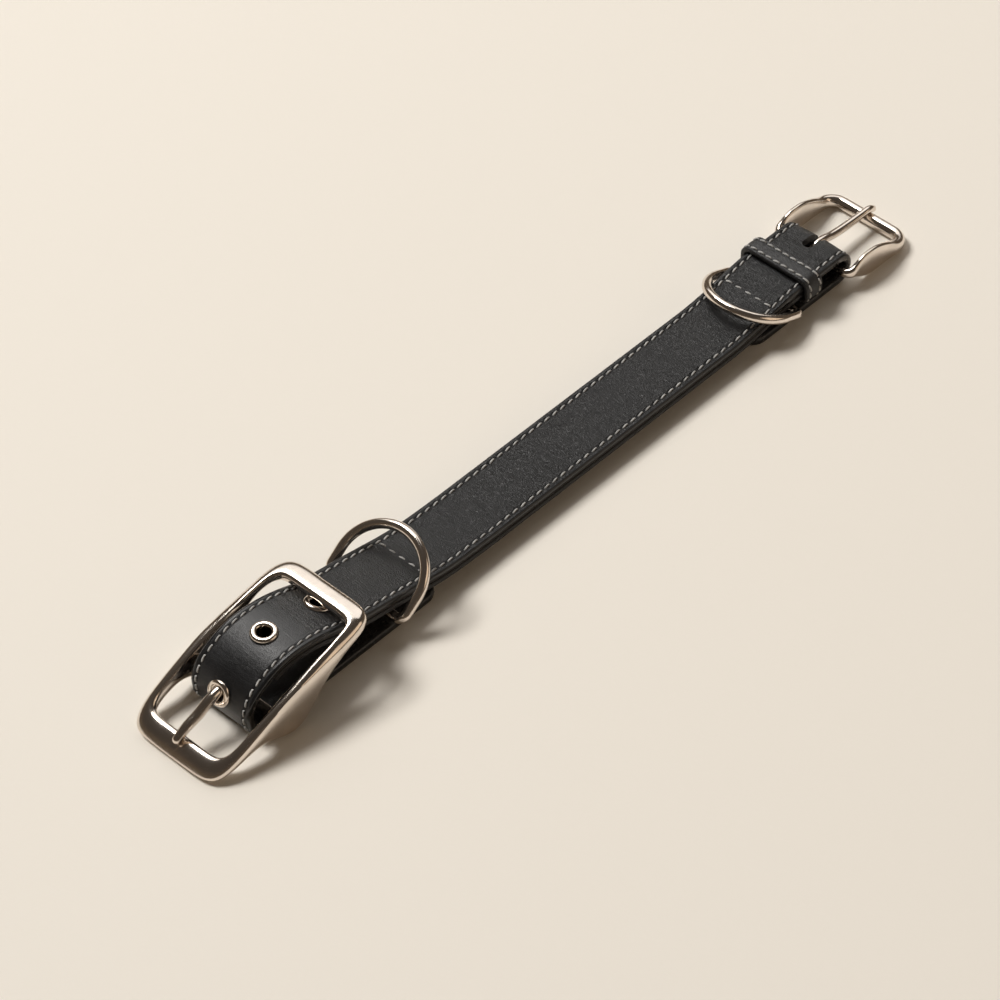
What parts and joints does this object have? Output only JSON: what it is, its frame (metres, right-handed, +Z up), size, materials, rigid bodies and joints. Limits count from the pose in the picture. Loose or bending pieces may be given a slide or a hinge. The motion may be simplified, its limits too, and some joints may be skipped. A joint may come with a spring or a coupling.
{
  "type": "dog collar",
  "caption": "Flat black leather collar with a deep sided buckle at one end, a heel bar buckle at the other, D-rings, eyelets and a keeper loop.",
  "frame": {"origin": "middle of the collar's footprint, on the surface it lies on", "axes": "+X along the strap from the large buckle to the small one, +Y across the strap, +Z up"},
  "size_m": [0.3517, 0.0408, 0.0264],
  "materials": {
    "strap_leather": "fine grained black leather, half matt",
    "lining_leather": "plain black leather with painted edges",
    "nickel": "warm polished nickel"
  },
  "bodies": {
    "collar": {"strap_outer": "strap_leather", "strap_lining": "lining_leather", "keeper_loop": "strap_leather", "eyelet_prong": "nickel", "eyelet_middle": "nickel", "eyelet_bar": "nickel", "near_frame": "nickel", "near_prong": "nickel"},
    "near_ring": {"near_ring": "nickel"},
    "far_ring": {"far_ring": "nickel"},
    "far_buckle": {"far_frame": "nickel"},
    "far_prong": {"far_prong": "nickel"}
  },
  "joints": [
    {"name": "near_ring_swing", "type": "hinge", "parent": "collar", "child": "near_ring", "pos_m": [-0.0875, 0, 0.00719], "axis": [0, -1, 0], "range_deg": [-15, 70]},
    {"name": "far_ring_swing", "type": "hinge", "parent": "collar", "child": "far_ring", "pos_m": [0.1143, 0, 0.0052], "axis": [0, 1, 0], "range_deg": [0, 65]},
    {"name": "far_buckle_swing", "type": "hinge", "parent": "collar", "child": "far_buckle", "pos_m": [0.1399, 0, 0.0065], "axis": [0, -1, 0], "range_deg": [0, 45]},
    {"name": "far_prong_swing", "type": "hinge", "parent": "far_buckle", "child": "far_prong", "pos_m": [0.1399, 0, 0.0065], "axis": [0, -1, 0], "range_deg": [0, 40]}
  ]
}
